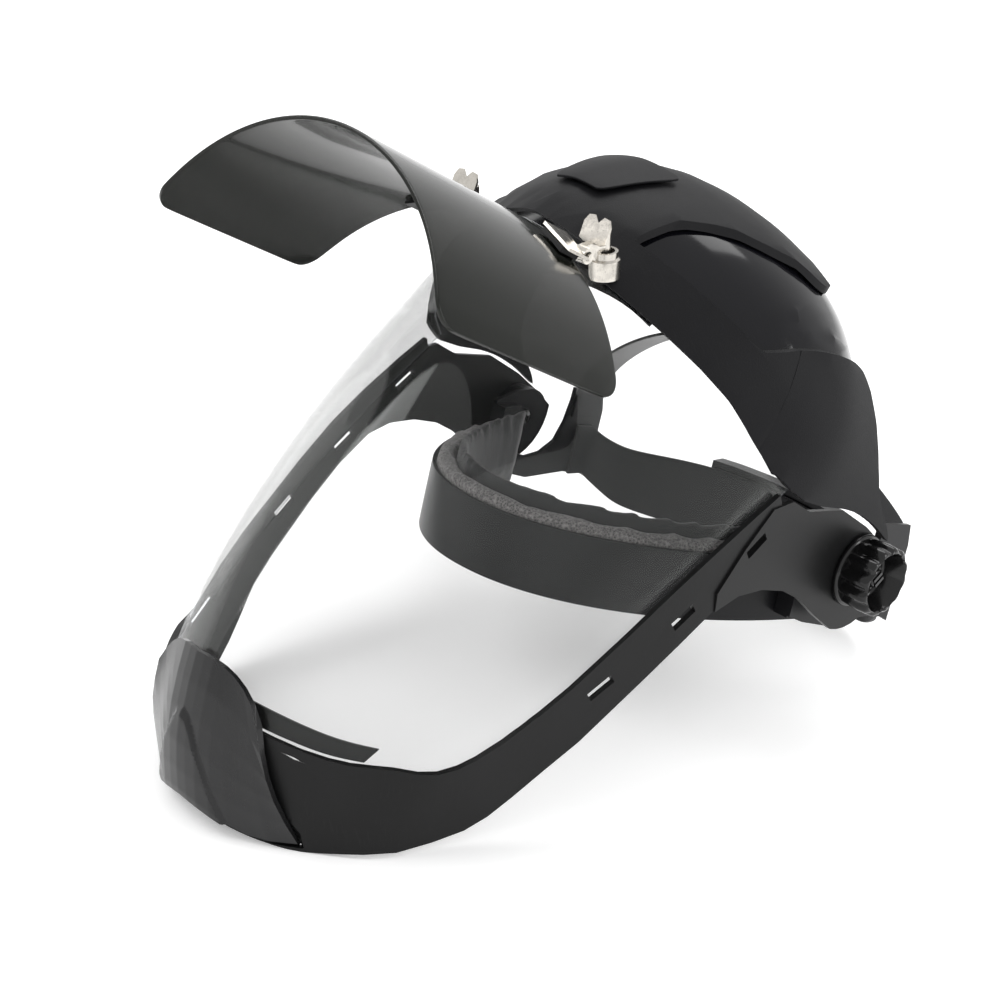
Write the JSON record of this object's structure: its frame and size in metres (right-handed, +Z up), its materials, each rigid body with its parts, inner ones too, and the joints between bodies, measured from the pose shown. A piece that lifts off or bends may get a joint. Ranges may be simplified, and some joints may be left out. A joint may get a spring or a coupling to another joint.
{
  "type": "flip-up face shield",
  "caption": "Flip-up face shield with a clear curved window, black crown and chin guard, side tension knobs, padded headgear and a tinted lens raised on steel clips.",
  "frame": {"origin": "centre of the box round the whole object, on the surface it rests on", "axes": "+Z up, -Y towards the front of the shield, +X towards the wearer's left; the knobs' axis runs along X"},
  "size_m": [0.2748, 0.4106, 0.2905],
  "materials": {
    "matte_shell": "matt, fine grain",
    "gloss_shell": "gloss",
    "window": "clear, polished",
    "lens": "dark green tint, polished",
    "steel": "bright",
    "headgear_plastic": "satin",
    "foam": "open foam",
    "pad": "soft grained cover"
  },
  "bodies": {
    "headgear": {"forehead_band": "headgear_plastic", "brow_foam": "foam", "sweat_pad": "pad", "nape_band": "headgear_plastic", "ratchet_housing": "headgear_plastic", "crown_strap": "headgear_plastic", "side_yoke_left": "headgear_plastic", "side_yoke_right": "headgear_plastic"},
    "shield": {"crown_cover": "matte_shell", "crown_dome": "gloss_shell", "badge_plate": "matte_shell", "clear_window": "window", "shield_frame": "matte_shell", "window_retainer": "matte_shell", "chin_flap": "matte_shell", "hinge_collar_left": "steel", "hinge_collar_right": "steel"},
    "flip_lens": {"tinted_lens": "lens", "lens_clip_left": "steel", "lens_clip_right": "steel", "clip_jaw_left": "matte_shell", "clip_jaw_right": "matte_shell"},
    "knob_left": {"knob_left": "gloss_shell"},
    "knob_right": {"knob_right": "gloss_shell"},
    "ratchet_knob": {"ratchet_knob": "gloss_shell"}
  },
  "joints": [
    {"name": "shield_tilt", "type": "hinge", "parent": "headgear", "child": "shield", "pos_m": [0, 0.0944, 0.07442], "axis": [1, 0, 0], "range_deg": [-55, 28]},
    {"name": "lens_flip", "type": "hinge", "parent": "shield", "child": "flip_lens", "pos_m": [0, -0.03204, 0.23218], "axis": [1, 0, 0], "range_deg": [0, 70]},
    {"name": "left_knob_turn", "type": "hinge", "parent": "headgear", "child": "knob_left", "pos_m": [0.12, 0.0944, 0.07442], "axis": [1, 0, 0], "continuous": true},
    {"name": "right_knob_turn", "type": "hinge", "parent": "headgear", "child": "knob_right", "pos_m": [-0.12, 0.0944, 0.07442], "axis": [-1, 0, 0], "continuous": true},
    {"name": "ratchet_turn", "type": "hinge", "parent": "headgear", "child": "ratchet_knob", "pos_m": [0, 0.18983, 0.02448], "axis": [0, 0.9761, -0.2173], "continuous": true}
  ]
}
